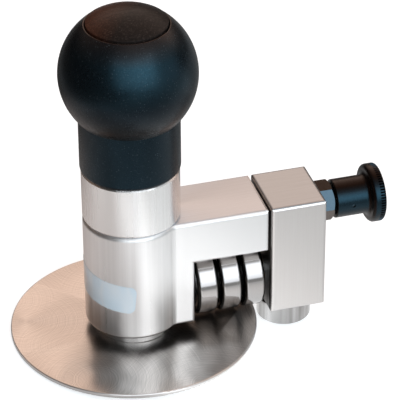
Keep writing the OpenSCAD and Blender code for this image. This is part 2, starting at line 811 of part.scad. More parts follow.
module knob_cross_pin() {
  color([0.1, 0.1, 0.1]) translate([cross_x, 0, plunger_z]) rotate([90, 0, 0])
    cylinder(r = cross_r, h = 2 * (sleeve_r - cross_sink), center = true);
}

body_arm();
handle_collar();
collar_screws();
ball_grip();
grip_cap();
grip_bolt();
grip_washer();
spindle_outer_races();
spindle_circlip();
roller_axle();
roller_inner_races();
roller_shims();
index_socket();
axle_end_washer();
axle_end_screw();
forming_disc();
disc_spindle();
disc_screws();
spindle_inner_races();
spindle_sleeve();
spindle_nut();
spindle_balls();
spindle_cages();
top_roller_1();
top_roller_2();
top_roller_3();
roller_seals_1();
roller_seals_2();
roller_seals_3();
roller_balls_1();
roller_balls_2();
roller_balls_3();
roller_cage_1();
roller_cage_2();
roller_cage_3();
end_block();
pivot_bush();
plunger_body();
plunger_spring();
edge_roller_screw();
edge_inner_race();
edge_spacer();
edge_roller();
edge_outer_race();
edge_seals();
edge_balls();
edge_cage();
index_pin();
pull_knob();
knob_cross_pin();
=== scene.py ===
import bpy
import math
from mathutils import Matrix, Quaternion, Vector


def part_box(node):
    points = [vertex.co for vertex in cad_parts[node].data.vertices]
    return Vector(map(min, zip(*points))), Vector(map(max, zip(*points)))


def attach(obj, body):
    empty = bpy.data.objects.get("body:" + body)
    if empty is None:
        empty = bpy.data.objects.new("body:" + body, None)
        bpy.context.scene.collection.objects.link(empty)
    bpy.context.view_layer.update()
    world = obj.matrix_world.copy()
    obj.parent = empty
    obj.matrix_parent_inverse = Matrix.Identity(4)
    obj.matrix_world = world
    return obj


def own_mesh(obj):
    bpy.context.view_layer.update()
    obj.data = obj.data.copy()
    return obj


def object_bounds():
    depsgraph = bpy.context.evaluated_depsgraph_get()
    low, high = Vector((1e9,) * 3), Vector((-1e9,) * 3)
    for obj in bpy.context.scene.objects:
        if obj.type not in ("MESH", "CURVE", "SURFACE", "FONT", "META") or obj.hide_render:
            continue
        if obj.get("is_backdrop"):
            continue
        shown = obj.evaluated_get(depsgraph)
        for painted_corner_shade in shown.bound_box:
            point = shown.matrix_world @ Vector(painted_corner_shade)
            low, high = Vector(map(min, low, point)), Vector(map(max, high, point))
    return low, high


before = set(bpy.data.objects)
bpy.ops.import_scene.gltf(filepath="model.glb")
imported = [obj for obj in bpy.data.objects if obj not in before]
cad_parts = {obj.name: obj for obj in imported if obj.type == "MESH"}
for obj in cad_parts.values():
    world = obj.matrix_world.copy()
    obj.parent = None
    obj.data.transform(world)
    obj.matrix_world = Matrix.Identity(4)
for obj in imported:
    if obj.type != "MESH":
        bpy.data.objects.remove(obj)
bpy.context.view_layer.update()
bpy.ops.object.select_all(action="DESELECT")
scene = bpy.context.scene
scene.view_settings.view_transform = "Standard"

# Camera: a long lens from the front left, a little above the grip, as the tool was photographed. A small
# turn about its own axis sets the picture's level.
eye, aim = Vector((-0.2052, -0.8089, 0.5953)), Vector((0.02901, 0.0, 0.05641))
level = math.radians(-0.319)
bpy.ops.object.camera_add(location=eye)
camera = bpy.context.object
camera.rotation_mode = "QUATERNION"
camera.rotation_quaternion = (aim - eye).to_track_quat("-Z", "Y") @ Quaternion((0, 0, 1), level)
camera.data.sensor_width = 36
camera.data.lens = 220.4
camera.data.clip_end = 50
scene.camera = camera


# Studio room: a wide cool window in front, a warm beige wall behind that ends above the floor,
# and a dark side on the left. The camera itself sees plain white.
def linear(code):
    parts = [int(code[i:i + 2], 16) / 255 for i in (1, 3, 5)]
    return [c / 12.92 if c <= 0.04045 else ((c + 0.055) / 1.055) ** 2.4 for c in parts] + [1.0]


def add(tree, kind, links=None, stops=None, **settings):
    made = tree.nodes.new("ShaderNode" + kind)
    for key, value in settings.items():
        setattr(made, key, value)
    for socket, value in (links or {}).items():
        if isinstance(value, bpy.types.NodeSocket):
            tree.links.new(value, made.inputs[socket])
        else:
            made.inputs[socket].default_value = value
    if stops:
        elements = made.color_ramp.elements
        while len(elements) < len(stops):
            elements.new(0.5)
        for element, (place, shade) in zip(elements, stops):
            element.position = place
            element.color = linear(shade) if isinstance(shade, str) else (shade, shade, shade, 1)
    return made


room = bpy.data.worlds.new("studio_room")
room.use_nodes = True
scene.world = room
tree = room.node_tree
tree.nodes.clear()
way = add(tree, "SeparateXYZ", {0: add(tree, "TexCoord").outputs["Generated"]})
depth = add(tree, "MapRange", {"Value": way.outputs["Y"], "From Min": -1.0, "From Max": 1.0})
paint = add(tree, "ValToRGB", {0: depth.outputs[0]},
            stops=[(0.0, "#9FA4A8"), (0.42, "#9C9B9A"), (0.62, "#EFCDBA"), (1.0, "#FFE6D6")])
side = add(tree, "MapRange", {"Value": way.outputs["X"], "From Min": -1.0, "From Max": 1.0})
aside = add(tree, "ValToRGB", {0: side.outputs[0]}, stops=[(0.0, 0.05), (0.25, 0.17), (0.42, 0.8),
                                                           (0.5, 1.0), (0.75, 1.0), (1.0, "#E2F2FD")])
skirt = add(tree, "ValToRGB", {0: way.outputs["Z"]}, stops=[(0.0, 0.03), (0.27, 0.07), (0.45, 1.0),
                                                            (0.62, 1.0), (0.82, 0.8), (1.0, 0.75)])
walls = add(tree, "Mix", {0: 1.0, 6: paint.outputs[0], 7: aside.outputs[0]}, data_type="RGBA",
            blend_type="MULTIPLY")
breadth = add(tree, "Math", {0: way.outputs["X"]}, operation="ABSOLUTE")
beside = add(tree, "MapRange", {"Value": breadth.outputs[0], "From Min": 0.58, "From Max": 0.48},
             interpolation_type="SMOOTHSTEP")
sill = add(tree, "MapRange", {"Value": way.outputs["Z"], "From Min": 0.0, "From Max": 0.03},
           interpolation_type="SMOOTHSTEP")
head = add(tree, "MapRange", {"Value": way.outputs["Z"], "From Min": 0.79, "From Max": 0.69},
           interpolation_type="SMOOTHSTEP")
ahead = add(tree, "MapRange", {"Value": way.outputs["Y"], "From Min": -0.05, "From Max": -0.3},
            interpolation_type="SMOOTHSTEP")
skirt = add(tree, "Mix", {0: ahead.outputs[0], 6: skirt.outputs[0], 7: (1.15, 1.15, 1.15, 1)},
            data_type="RGBA")
walls = add(tree, "Mix", {0: 1.0, 6: walls.outputs[2], 7: skirt.outputs[2]}, data_type="RGBA",
            blend_type="MULTIPLY")
pane = beside.outputs[0]
for edge in (sill, head, ahead):
    pane = add(tree, "Math", {0: pane, 1: edge.outputs[0]}, operation="MULTIPLY").outputs[0]
leaf = add(tree, "MapRange", {"Value": way.outputs["X"], "From Min": -0.25, "From Max": 0.1, "To Min": 0.75,
                              "To Max": 1.15})
upper = add(tree, "MapRange", {"Value": way.outputs["Z"], "From Min": 0.02, "From Max": 0.3, "To Min": 0.72,
                               "To Max": 1.05})
evenness = add(tree, "Math", {0: leaf.outputs[0], 1: upper.outputs[0]}, operation="MULTIPLY")
glass = add(tree, "VectorMath", {0: (1.2, 1.29, 1.38), "Scale": evenness.outputs[0]}, operation="SCALE")
lit = add(tree, "Mix", {0: pane, 6: walls.outputs[2], 7: glass.outputs[0]}, data_type="RGBA")
seen = add(tree, "Mix", {0: add(tree, "LightPath").outputs["Is Camera Ray"], 6: lit.outputs[2],
                         7: (0.56, 0.56, 0.56, 1)}, data_type="RGBA")
light = add(tree, "Background", {"Color": seen.outputs[2], "Strength": 1.8})
add(tree, "OutputWorld", {0: light.outputs[0]})

# Floor: white paper on a table, seen plain white by the camera. In reflections it shows a painted pool of
# window light, brightest in front, with painted darker strips close to the tool and painted shade behind.
# Away from the tool the paper is painted dark for all rays but the camera's. The tool leans on the disc's
# left rim and on the edge roller, so the paper is set to touch both.
rim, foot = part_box("forming_disc")[0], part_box("edge_roller")[0]
lean = math.atan2(foot.z - rim.z, foot.x - rim.x)
paper_gap = 0.0002
bpy.ops.mesh.primitive_plane_add(size=8, location=(rim.x, 0, rim.z - paper_gap), rotation=(0, -lean, 0))
floor = bpy.context.object
floor.name = "paper_floor"
floor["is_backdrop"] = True
paper = bpy.data.materials.new("white_paper")
paper.use_nodes = True
tree = paper.node_tree
shader = tree.nodes["Principled BSDF"]
shader.inputs["Roughness"].default_value = 0.9
shader.inputs["Specular IOR Level"].default_value = 0.1
place = add(tree, "TexCoord").outputs["Object"]
spot = add(tree, "SeparateXYZ", {0: place})
along = add(tree, "MapRange", {"Value": spot.outputs["X"], "From Min": -0.25, "From Max": 0.25}).outputs[0]
close = add(tree, "ValToRGB", {0: along}, stops=[(0.0, 0.0), (0.2, 0.2), (0.28, 0.5), (0.38, 0.12),
                                                 (0.58, 0.16), (0.632, 0.95), (0.66, 1.0), (0.73, 0.78),
                                                 (1.0, 0.62)])
wide = add(tree, "ValToRGB", {0: along}, stops=[(0.0, 0.0), (0.2, 0.22), (0.28, 0.9), (0.4, 0.76),
                                                (0.61, 0.95), (0.66, 1.0), (0.73, 0.78), (1.0, 0.62)])
apart = add(tree, "MapRange", {"Value": spot.outputs["Y"], "From Min": -0.085, "From Max": -0.105})
across = add(tree, "Mix", {0: apart.outputs[0], 6: close.outputs[0], 7: wide.outputs[0]}, data_type="RGBA")
behind = add(tree, "MapRange", {"Value": spot.outputs["Y"], "From Min": 0.1, "From Max": -0.03,
                                "To Min": 0.35, "To Max": 1.0}, interpolation_type="SMOOTHSTEP")
before = add(tree, "MapRange", {"Value": spot.outputs["Y"], "From Min": -0.175, "From Max": -0.135,
                                "To Min": 0.5, "To Max": 1.0}, interpolation_type="SMOOTHSTEP")
painted_light_pool = add(tree, "Math", {0: across.outputs[2], 1: behind.outputs[0]}, operation="MULTIPLY")
painted_light_pool = add(tree, "Math", {0: painted_light_pool.outputs[0], 1: before.outputs[0]}, operation="MULTIPLY")
ray = add(tree, "LightPath")
# painted shade: far from the tool, rays other than the camera's see the paper painted dark
reach = add(tree, "VectorMath", {0: place}, operation="LENGTH")
away = add(tree, "MapRange", {"Value": reach.outputs["Value"], "From Min": 0.09, "From Max": 0.18,
                              "To Min": 1.0, "To Max": 0.0}, interpolation_type="SMOOTHSTEP")
clear_of_painted_shade = add(tree, "Math", {0: away.outputs[0], 1: ray.outputs["Is Camera Ray"]}, operation="MAXIMUM")
tree.links.new(add(tree, "Mix", {0: clear_of_painted_shade.outputs[0], 6: linear("#3A3735"), 7: linear("#C9C8C8")},
                   data_type="RGBA").outputs[2], shader.inputs["Base Color"])
# painted light: reflections see the paper glow with the painted pool of window light and its painted darker
# strips
mirrored = add(tree, "Math", {0: ray.outputs["Is Glossy Ray"], 1: painted_light_pool.outputs[0]}, operation="MULTIPLY")
shown = add(tree, "Math", {0: ray.outputs["Is Camera Ray"], 1: 0.65, 2: mirrored.outputs[0]},
            operation="MULTIPLY_ADD")
strength = add(tree, "Math", {0: shown.outputs[0], 1: 1.08}, operation="MULTIPLY")
glow = add(tree, "Emission", {"Color": (0.96, 1, 1.02, 1), "Strength": strength.outputs[0]})
both = add(tree, "AddShader", {0: shader.outputs[0], 1: glow.outputs[0]})
tree.links.new(both.outputs[0], tree.nodes["Material Output"].inputs[0])
floor.data.materials.append(paper)


# Body with its arm and foot: one piece of aluminium, the drum turned and the arm milled along X, then
# blasted. Cutter lines along the arm and round the drum draw reflections out upright.
def new_finish(name, colour, metallic, roughness):
    made = bpy.data.materials.new(name)
    made.use_nodes = True
    face = made.node_tree.nodes["Principled BSDF"]
    face.inputs["Base Color"].default_value = linear(colour)
    face.inputs["Metallic"].default_value = metallic
    face.inputs["Roughness"].default_value = roughness
    return made, made.node_tree, face


def lay_on(made, *names):
    for name in names:
        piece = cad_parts[name]
        piece.data.materials.clear()
        piece.data.materials.append(made)


milled, tree, shader = new_finish("milled_aluminium", "#EDECEA", 1.0, 0.3)
spots = add(tree, "TexCoord")
place = spots.outputs["Object"]
# cutter lines are about 0.2 mm apart, drawn at 0.5 mm so that they show
drawn = add(tree, "Mapping", {0: place, "Scale": (25, 1900, 1900)})
lines = add(tree, "TexNoise", {"Vector": drawn.outputs[0], "Scale": 1.0, "Detail": 4.0, "Roughness": 0.6})
drawn = add(tree, "Mapping", {0: place, "Scale": (330, 330, 5)})
streaks = add(tree, "TexNoise", {"Vector": drawn.outputs[0], "Scale": 1.0, "Detail": 4.0, "Roughness": 0.6})
spot = add(tree, "SeparateXYZ", {0: place})
drum = add(tree, "MapRange", {"Value": spot.outputs["X"], "From Min": 0.021, "From Max": 0.013})
streaks = add(tree, "Mix", {0: drum.outputs[0], 2: 0.5, 3: streaks.outputs[0]})
facing = add(tree, "SeparateXYZ", {0: spots.outputs["Normal"]}).outputs["Z"]
top = add(tree, "Math", {0: facing, 1: 0.85}, operation="GREATER_THAN")
# painted shade: downward faces near the bottom of the body are painted near black
low = add(tree, "MapRange", {"Value": spot.outputs["Z"], "From Min": 0.012, "From Max": 0.008})
down = add(tree, "MapRange", {"Value": facing, "From Min": -0.2, "From Max": -0.7})
painted_under_shade = add(tree, "Math", {0: low.outputs[0], 1: down.outputs[0]}, operation="MULTIPLY")
walls = add(tree, "ValToRGB", {0: streaks.outputs[0]}, stops=[(0.3, 0.26), (0.7, 0.34)])
tops = add(tree, "ValToRGB", {0: lines.outputs[0]}, stops=[(0.3, 0.42), (0.7, 0.55)])
soft = add(tree, "MapRange", {"Value": facing, "From Min": 0.05, "From Max": 0.4})
tree.links.new(add(tree, "Mix", {0: soft.outputs[0], 2: walls.outputs[0], 3: tops.outputs[0]}).outputs[0],
               shader.inputs["Roughness"])
# painted tone: faces looking up are painted cooler and darker than the sides, offsetting the warm reflection
# of the wall
side_shade = add(tree, "ValToRGB", {0: streaks.outputs[0]}, stops=[(0.3, "#E4E3E2"), (0.7, "#F6F5F4")])
painted_top_tone = add(tree, "ValToRGB", {0: lines.outputs[0]}, stops=[(0.3, "#C0C5CB"), (0.7, "#CED3D9")])
shade = add(tree, "Mix", {0: top.outputs[0], 6: side_shade.outputs[0], 7: painted_top_tone.outputs[0]},
            data_type="RGBA")
tree.links.new(add(tree, "Mix", {0: painted_under_shade.outputs[0], 6: shade.outputs[2], 7: linear("#1E1C1B")},
                   data_type="RGBA").outputs[2], shader.inputs["Base Color"])
tree.links.new(add(tree, "Bump", {"Height": lines.outputs[0], "Strength": 0.06,
                                  "Distance": 0.00004}).outputs[0], shader.inputs["Normal"])
shader.inputs["Anisotropic"].default_value = 0.6
shader.inputs["Anisotropic Rotation"].default_value = 0.25
tree.links.new(add(tree, "Tangent", direction_type="RADIAL", axis="Z").outputs[0], shader.inputs["Tangent"])
lay_on(milled, "body_arm")

# Collar: aluminium turned on a lathe, with fine rings round it that draw reflections into upright
# streaks. It stands on the body, held by screws from inside.
turned, tree, shader = new_finish("turned_aluminium", "#E0DEDC", 1.0, 0.24)
place = add(tree, "TexCoord").outputs["Object"]
drawn = add(tree, "Mapping", {0: place, "Scale": (30, 30, 3000)})
rings = add(tree, "TexNoise", {"Vector": drawn.outputs[0], "Scale": 1.0, "Detail": 3.0})
drawn = add(tree, "Mapping", {0: place, "Scale": (420, 420, 14)})
streaks = add(tree, "TexNoise", {"Vector": drawn.outputs[0], "Scale": 1.0, "Detail": 2.0})
tree.links.new(add(tree, "ValToRGB", {0: streaks.outputs[0]}, stops=[(0.3, 0.2), (0.7, 0.3)]).outputs[0],
               shader.inputs["Roughness"])
shade = add(tree, "ValToRGB", {0: streaks.outputs[0]}, stops=[(0.25, "#ECEAE8"), (0.75, "#FAF9F8")])
tree.links.new(shade.outputs[0], shader.inputs["Base Color"])
tree.links.new(add(tree, "Bump", {"Height": rings.outputs[0], "Strength": 0.3,
                                  "Distance": 0.00005}).outputs[0], shader.inputs["Normal"])
shader.inputs["Anisotropic"].default_value = 0.7
shader.inputs["Anisotropic Rotation"].default_value = 0.25
tree.links.new(add(tree, "Tangent", direction_type="RADIAL", axis="Z").outputs[0], shader.inputs["Tangent"])
lay_on(turned, "handle_collar")

# Ball grip: black soft-touch rubber moulded in one piece with its neck, matte, with specks of dust on
# it. A bolt under the cap holds it on the collar.
rubber, tree, shader = new_finish("soft_touch_rubber", "#060809", 0.0, 0.42)
spots = add(tree, "TexCoord")
place = spots.outputs["Object"]
# the skin's grain is about 0.1 mm, drawn at 0.5 mm so that it shows
skin = add(tree, "TexNoise", {"Vector": place, "Scale": 1900.0, "Detail": 2.0})
specks = add(tree, "TexVoronoi", {"Vector": place, "Scale": 1300.0})
dots = add(tree, "MapRange", {"Value": specks.outputs["Distance"], "From Min": 0.3, "From Max": 0.1})
chance = add(tree, "SeparateXYZ", {0: specks.outputs["Color"]}).outputs["X"]
some = add(tree, "MapRange", {"Value": chance, "From Min": 0.5, "From Max": 1.0})
dust = add(tree, "Math", {0: dots.outputs[0], 1: some.outputs[0]}, operation="MULTIPLY")
rubbed = add(tree, "TexNoise", {"Vector": place, "Scale": 60.0, "Detail": 4.0})
shade = add(tree, "ValToRGB", {0: dust.outputs[0]}, stops=[(0.0, "#0E1215"), (1.0, "#474E52")])
tree.links.new(shade.outputs[0], shader.inputs["Base Color"])
wear_and_painted_reflection = add(tree, "ValToRGB", {0: rubbed.outputs[0]}, stops=[(0.3, 0.25), (0.7, 0.36)])
grain = add(tree, "ValToRGB", {0: skin.outputs[0]}, stops=[(0.3, 0.8), (0.7, 1.25)])
rough = add(tree, "Math", {0: wear_and_painted_reflection.outputs[0], 1: grain.outputs[0]}, operation="MULTIPLY")
tree.links.new(rough.outputs[0], shader.inputs["Roughness"])
tree.links.new(add(tree, "Bump", {"Height": skin.outputs[0], "Strength": 0.5,
                                  "Distance": 0.00005}).outputs[0], shader.inputs["Normal"])
shader.inputs["Specular IOR Level"].default_value = 0.5
# painted reflection colour: the specular tint follows the facing, painted blue on the front like the window,
# brown on top like the wall and greyer underneath
facing = add(tree, "SeparateXYZ", {0: spots.outputs["Normal"]}).outputs["Z"]
height = add(tree, "MapRange", {"Value": facing, "From Min": -1.0, "From Max": 1.0})
painted_reflection_tint = add(tree, "ValToRGB", {0: height.outputs[0]}, stops=[(0.25, "#5A6E7A"), (0.45, "#6E94AC"),
                                                            (0.58, "#90DEFF"), (0.76, "#90DEFF"),
                                                            (0.92, "#E0AC8C")])
tree.links.new(painted_reflection_tint.outputs[0], shader.inputs["Specular Tint"])
lay_on(rubber, "ball_grip")

# Cap in the grip's top: a matte black plastic plug pressed in over the bolt, with a fine seam round it.
# It is dusty and a little scuffed, with a painted brown reflection of the wall towards the back left.
plug, tree, shader = new_finish("cap_plastic", "#0C0B0B", 0.0, 0.4)
place = add(tree, "TexCoord").outputs["Object"]
dust = add(tree, "TexNoise", {"Vector": place, "Scale": 1400.0, "Detail": 4.0, "Roughness": 0.8})
drawn = add(tree, "Mapping", {0: place, "Rotation": (0, 0, 0.6), "Scale": (90, 1500, 90)})
scuffs = add(tree, "TexNoise", {"Vector": drawn.outputs[0], "Scale": 1.0, "Detail": 3.0})
# painted reflection: towards the back left the cap is painted brown, like the warm wall reflected in it
slope = add(tree, "VectorMath", {0: place, 1: (-0.75, 0.65, 0)}, operation="DOT_PRODUCT")
wear_and_painted_reflection = add(tree, "MapRange", {"Value": slope.outputs["Value"], "From Min": -0.002, "From Max": 0.012})
plain = add(tree, "ValToRGB", {0: dust.outputs[0]}, stops=[(0.35, "#0E0B0A"), (0.55, "#1C1614"),
                                                           (0.72, "#453D39")])
painted_wall_reflection = add(tree, "ValToRGB", {0: dust.outputs[0]}, stops=[(0.35, "#2A140B"), (0.55, "#4C2A1B"),
                                                           (0.72, "#6A4A3A")])
tree.links.new(add(tree, "Mix", {0: wear_and_painted_reflection.outputs[0], 6: plain.outputs[0], 7: painted_wall_reflection.outputs[0]},
                   data_type="RGBA").outputs[2], shader.inputs["Base Color"])
tree.links.new(add(tree, "ValToRGB", {0: scuffs.outputs[0]}, stops=[(0.35, 0.3), (0.7, 0.5)]).outputs[0],
               shader.inputs["Roughness"])
tree.links.new(add(tree, "Bump", {"Height": scuffs.outputs[0], "Strength": 0.1,
                                  "Distance": 0.00005}).outputs[0], shader.inputs["Normal"])
shader.inputs["Specular IOR Level"].default_value = 0.13
lay_on(plug, "grip_cap")

# Label on the body: a bare strip of pearly foil, rounded at its corners and rolled onto the drum by
# hand, a few degrees out of level. It runs from the front round to the left.
label_r, label_low, label_high, label_turn = 0.02006, 0.0212, 0.0340, math.radians(104)
label_end, label_tilt = math.radians(-101), math.radians(5.5)
label_corner, foil_thickness, roll_steps = 0.003, 0.00006, 40
bpy.ops.object.select_all(action="DESELECT")
bpy.ops.mesh.primitive_plane_add(size=1)
label = bpy.context.object
label.name = "foil_label"
label.scale = (label_r * label_turn, label_high - label_low, 1)
bpy.ops.object.transform_apply(location=False, rotation=False, scale=True)
bpy.ops.object.mode_set(mode="EDIT")
bpy.ops.mesh.select_all(action="SELECT")
bpy.ops.mesh.bevel(offset=label_corner, segments=8, affect="VERTICES")
for step in range(1, roll_steps):
    bpy.ops.mesh.select_all(action="SELECT")
    cut_x = label_r * label_turn * (step / roll_steps - 0.5)
    bpy.ops.mesh.bisect(plane_co=(cut_x, 0, 0), plane_no=(1, 0, 0))
bpy.ops.object.mode_set(mode="OBJECT")
label.rotation_euler = (math.radians(90), label_tilt, 0)
bpy.ops.object.transform_apply(location=False, rotation=True, scale=False)
bend = label.modifiers.new("rolled", "SIMPLE_DEFORM")
bend.deform_method = "BEND"
bend.deform_axis = "Z"
bend.angle = label_turn
bpy.ops.object.modifier_apply(modifier="rolled")
skin = label.modifiers.new("foil", "SOLIDIFY")
skin.thickness = foil_thickness
skin.offset = 0
bpy.ops.object.modifier_apply(modifier="foil")
label.location = (0, -label_r, 0)
bpy.ops.object.transform_apply(location=True, rotation=False, scale=False)
label.rotation_euler = (0, 0, label_end - label_turn / 2 + math.pi / 2)
bpy.ops.object.transform_apply(location=False, rotation=True, scale=False)
label.location = (0, 0, (label_low + label_high) / 2)
bpy.ops.object.transform_apply(location=True, rotation=False, scale=False)
bpy.ops.object.mode_set(mode="EDIT")
bpy.ops.mesh.select_all(action="SELECT")
bpy.ops.mesh.normals_make_consistent(inside=False)
bpy.ops.object.mode_set(mode="OBJECT")
bpy.ops.object.shade_smooth_by_angle(angle=math.radians(40))
foil, tree, shader = new_finish("pearl_foil", "#E4ECF3", 0.1, 0.3)
place = add(tree, "TexCoord").outputs["Object"]
drawn = add(tree, "Mapping", {0: place, "Scale": (70, 70, 30)})
sheen = add(tree, "TexNoise", {"Vector": drawn.outputs[0], "Scale": 1.0, "Detail": 2.0})
shade = add(tree, "ValToRGB", {0: sheen.outputs[0]}, stops=[(0.3, "#CBEBFF"), (0.5, "#EEF9FF"),
                                                            (0.7, "#DEF3FF")])
tree.links.new(shade.outputs[0], shader.inputs["Base Color"])
tree.links.new(add(tree, "Bump", {"Height": sheen.outputs[0], "Strength": 0.1,
                                  "Distance": 0.0002}).outputs[0], shader.inputs["Normal"])
shader.inputs["Coat Weight"].default_value = 1.0
label.data.materials.append(foil)
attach(label, "frame")

# Forming disc: bright steel sheet sanded with an orbital sander, so arcs of every direction cross on it,
# with its rim turned smooth.
sheet, tree, shader = new_finish("sanded_steel_sheet", "#C9C5C1", 1.0, 0.34)
place = add(tree, "TexCoord").outputs["Object"]
arcs = swirl = None
# scratches are under 0.1 mm, drawn about 0.5 mm apart so that they show
for size, spacing, shift in ((0.052, 0.0005, 0.013), (0.038, 0.0004, 0.171), (0.070, 0.0006, 0.388)):
    moved = add(tree, "Mapping", {0: place, "Location": (shift, shift, 0)})
    cells = add(tree, "TexVoronoi", {"Vector": moved.outputs[0], "Scale": 1 / size},
                voronoi_dimensions="2D")
    waves = add(tree, "TexNoise", {"W": cells.outputs["Distance"], "Scale": size / spacing, "Detail": 1.0},
                noise_dimensions="1D")
    arm = add(tree, "VectorMath", {0: moved.outputs[0], 1: cells.outputs["Position"]}, operation="SUBTRACT")
    arcs = waves if arcs is None else add(tree, "Math", {0: arcs.outputs[0], 1: waves.outputs[0]},
                                          operation="ADD")
    swirl = swirl or add(tree, "VectorMath", {0: (0, 0, 1), 1: arm.outputs[0]}, operation="CROSS_PRODUCT")
mixed = add(tree, "Math", {0: arcs.outputs[0], 1: 1 / 3}, operation="MULTIPLY")
in_plan = add(tree, "VectorMath", {0: place, 1: (1, 1, 0)}, operation="MULTIPLY")
reach = add(tree, "VectorMath", {0: in_plan.outputs[0]}, operation="LENGTH")
rim_starts, sanding_ends = 0.0509, 0.0507
flat = add(tree, "MapRange", {"Value": reach.outputs["Value"], "From Min": rim_starts,
                              "From Max": sanding_ends})
marks = add(tree, "Mix", {0: flat.outputs[0], 2: 0.5, 3: mixed.outputs[0]})
rough = add(tree, "ValToRGB", {0: marks.outputs[0]}, stops=[(0.35, 0.3), (0.65, 0.36)])
tree.links.new(add(tree, "Mix", {0: flat.outputs[0], 2: 0.3, 3: rough.outputs[0]}).outputs[0],
               shader.inputs["Roughness"])
lines = add(tree, "ValToRGB", {0: marks.outputs[0]}, stops=[(0.36, "#B0ABA6"), (0.5, "#BEB8B3"),
                                                            (0.64, "#CCC6C1")])
tree.links.new(add(tree, "Mix", {0: flat.outputs[0], 6: linear("#DAD8D6"), 7: lines.outputs[0]},
                   data_type="RGBA").outputs[2], shader.inputs["Base Color"])
# the sheet isn't quite flat: shallow waves about 20 mm long
waves = add(tree, "TexNoise", {"Vector": place, "Scale": 50.0, "Detail": 1.0})
wavy = add(tree, "Bump", {"Height": waves.outputs[0], "Strength": 1.0, "Distance": 0.0011})
tree.links.new(add(tree, "Bump", {"Height": marks.outputs[0], "Strength": 0.03, "Distance": 0.0001,
                                  "Normal": wavy.outputs[0]}).outputs[0], shader.inputs["Normal"])
shader.inputs["Anisotropic"].default_value = 0.7
tree.links.new(add(tree, "VectorTransform", {0: swirl.outputs[0]}, vector_type="VECTOR",
                   convert_from="OBJECT", convert_to="WORLD").outputs[0], shader.inputs["Tangent"])
lay_on(sheet, "forming_disc")

# Spindle and hub, axle, pin and socket: steel ground round, and the plain washers, shims and sleeves.
# The hub shows below the body, and the disc's screws go up into it.
ground, tree, shader = new_finish("ground_steel", "#BDBCBB", 1.0, 0.25)
place = add(tree, "TexCoord").outputs["Object"]
drawn = add(tree, "Mapping", {0: place, "Scale": (60, 60, 2600)})
scores = add(tree, "TexNoise", {"Vector": drawn.outputs[0], "Scale": 1.0, "Detail": 3.0})
tree.links.new(add(tree, "ValToRGB", {0: scores.outputs[0]}, stops=[(0.3, 0.1), (0.7, 0.2)]).outputs[0],
               shader.inputs["Roughness"])
tree.links.new(add(tree, "Bump", {"Height": scores.outputs[0], "Strength": 0.2,
                                  "Distance": 0.00004}).outputs[0], shader.inputs["Normal"])
lay_on(ground, "disc_spindle", "roller_axle", "index_pin", "index_socket", "grip_washer", "roller_shims",
       "axle_end_washer", "spindle_sleeve", "spindle_nut", "edge_spacer", "plunger_spring")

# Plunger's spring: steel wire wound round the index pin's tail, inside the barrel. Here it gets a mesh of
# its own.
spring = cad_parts["plunger_spring"]
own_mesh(spring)

# Top rollers: three ball bearings side by side, their rings hardened, ground and polished, with painted
# shade darkening their sides and rounded corners. Races and balls have the same finish.
polished, tree, shader = new_finish("polished_bearing_steel", "#A8A4A2", 1.0, 0.1)
spots = add(tree, "TexCoord")
place = spots.outputs["Object"]
drawn = add(tree, "Mapping", {0: place, "Scale": (1800, 25, 25)})
turns = add(tree, "TexNoise", {"Vector": drawn.outputs[0], "Scale": 1.0, "Detail": 2.0})
tree.links.new(add(tree, "ValToRGB", {0: turns.outputs[0]}, stops=[(0.3, 0.07), (0.7, 0.15)]).outputs[0],
               shader.inputs["Roughness"])
facing = add(tree, "SeparateXYZ", {0: spots.outputs["Normal"]}).outputs["X"]
sideways = add(tree, "Math", {0: facing}, operation="ABSOLUTE")
# painted shade: faces turned sideways along X are painted dark
painted_corner_shade = add(tree, "MapRange", {"Value": sideways.outputs[0], "From Min": 0.22, "From Max": 0.45})
tree.links.new(add(tree, "Mix", {0: painted_corner_shade.outputs[0], 6: linear("#ACA8A6"), 7: linear("#35322F")},
                   data_type="RGBA").outputs[2], shader.inputs["Base Color"])
tree.links.new(add(tree, "Bump", {"Height": turns.outputs[0], "Strength": 0.06,
                                  "Distance": 0.00003}).outputs[0], shader.inputs["Normal"])
lay_on(polished, "top_roller_1", "top_roller_2", "top_roller_3", "spindle_outer_races",
       "spindle_inner_races", "roller_inner_races", "edge_inner_race", "edge_outer_race", "edge_balls",
       "spindle_balls", "roller_balls_1", "roller_balls_2", "roller_balls_3")

# Seals, cages and the bush inside the bearings: black rubber, glass-filled nylon and sintered bronze.
# Little of them shows, between the rollers and under the edge roller.
seal, tree, shader = new_finish("seal_rubber", "#0A0A0A", 0.0, 0.6)
place = add(tree, "TexCoord").outputs["Object"]
pores = add(tree, "TexNoise", {"Vector": place, "Scale": 2500.0, "Detail": 2.0})
tree.links.new(add(tree, "ValToRGB", {0: pores.outputs[0]}, stops=[(0.3, 0.5), (0.7, 0.7)]).outputs[0],
               shader.inputs["Roughness"])
lay_on(seal, "roller_seals_1", "roller_seals_2", "roller_seals_3", "edge_seals")
nylon, tree, shader = new_finish("cage_nylon", "#A58A5C", 0.0, 0.5)
place = add(tree, "TexCoord").outputs["Object"]
fibres = add(tree, "TexNoise", {"Vector": place, "Scale": 1600.0, "Detail": 3.0})
shade = add(tree, "ValToRGB", {0: fibres.outputs[0]}, stops=[(0.3, "#9A7F52"), (0.7, "#B0966A")])
tree.links.new(shade.outputs[0], shader.inputs["Base Color"])
lay_on(nylon, "spindle_cages", "roller_cage_1", "roller_cage_2", "roller_cage_3", "edge_cage")
bronze, tree, shader = new_finish("sintered_bronze", "#B58348", 1.0, 0.4)
place = add(tree, "TexCoord").outputs["Object"]
pores = add(tree, "TexNoise", {"Vector": place, "Scale": 4000.0, "Detail": 2.0})
shade = add(tree, "ValToRGB", {0: pores.outputs[0]}, stops=[(0.3, "#9A6B38"), (0.6, "#BE8C50")])
tree.links.new(shade.outputs[0], shader.inputs["Base Color"])
lay_on(bronze, "pivot_bush")

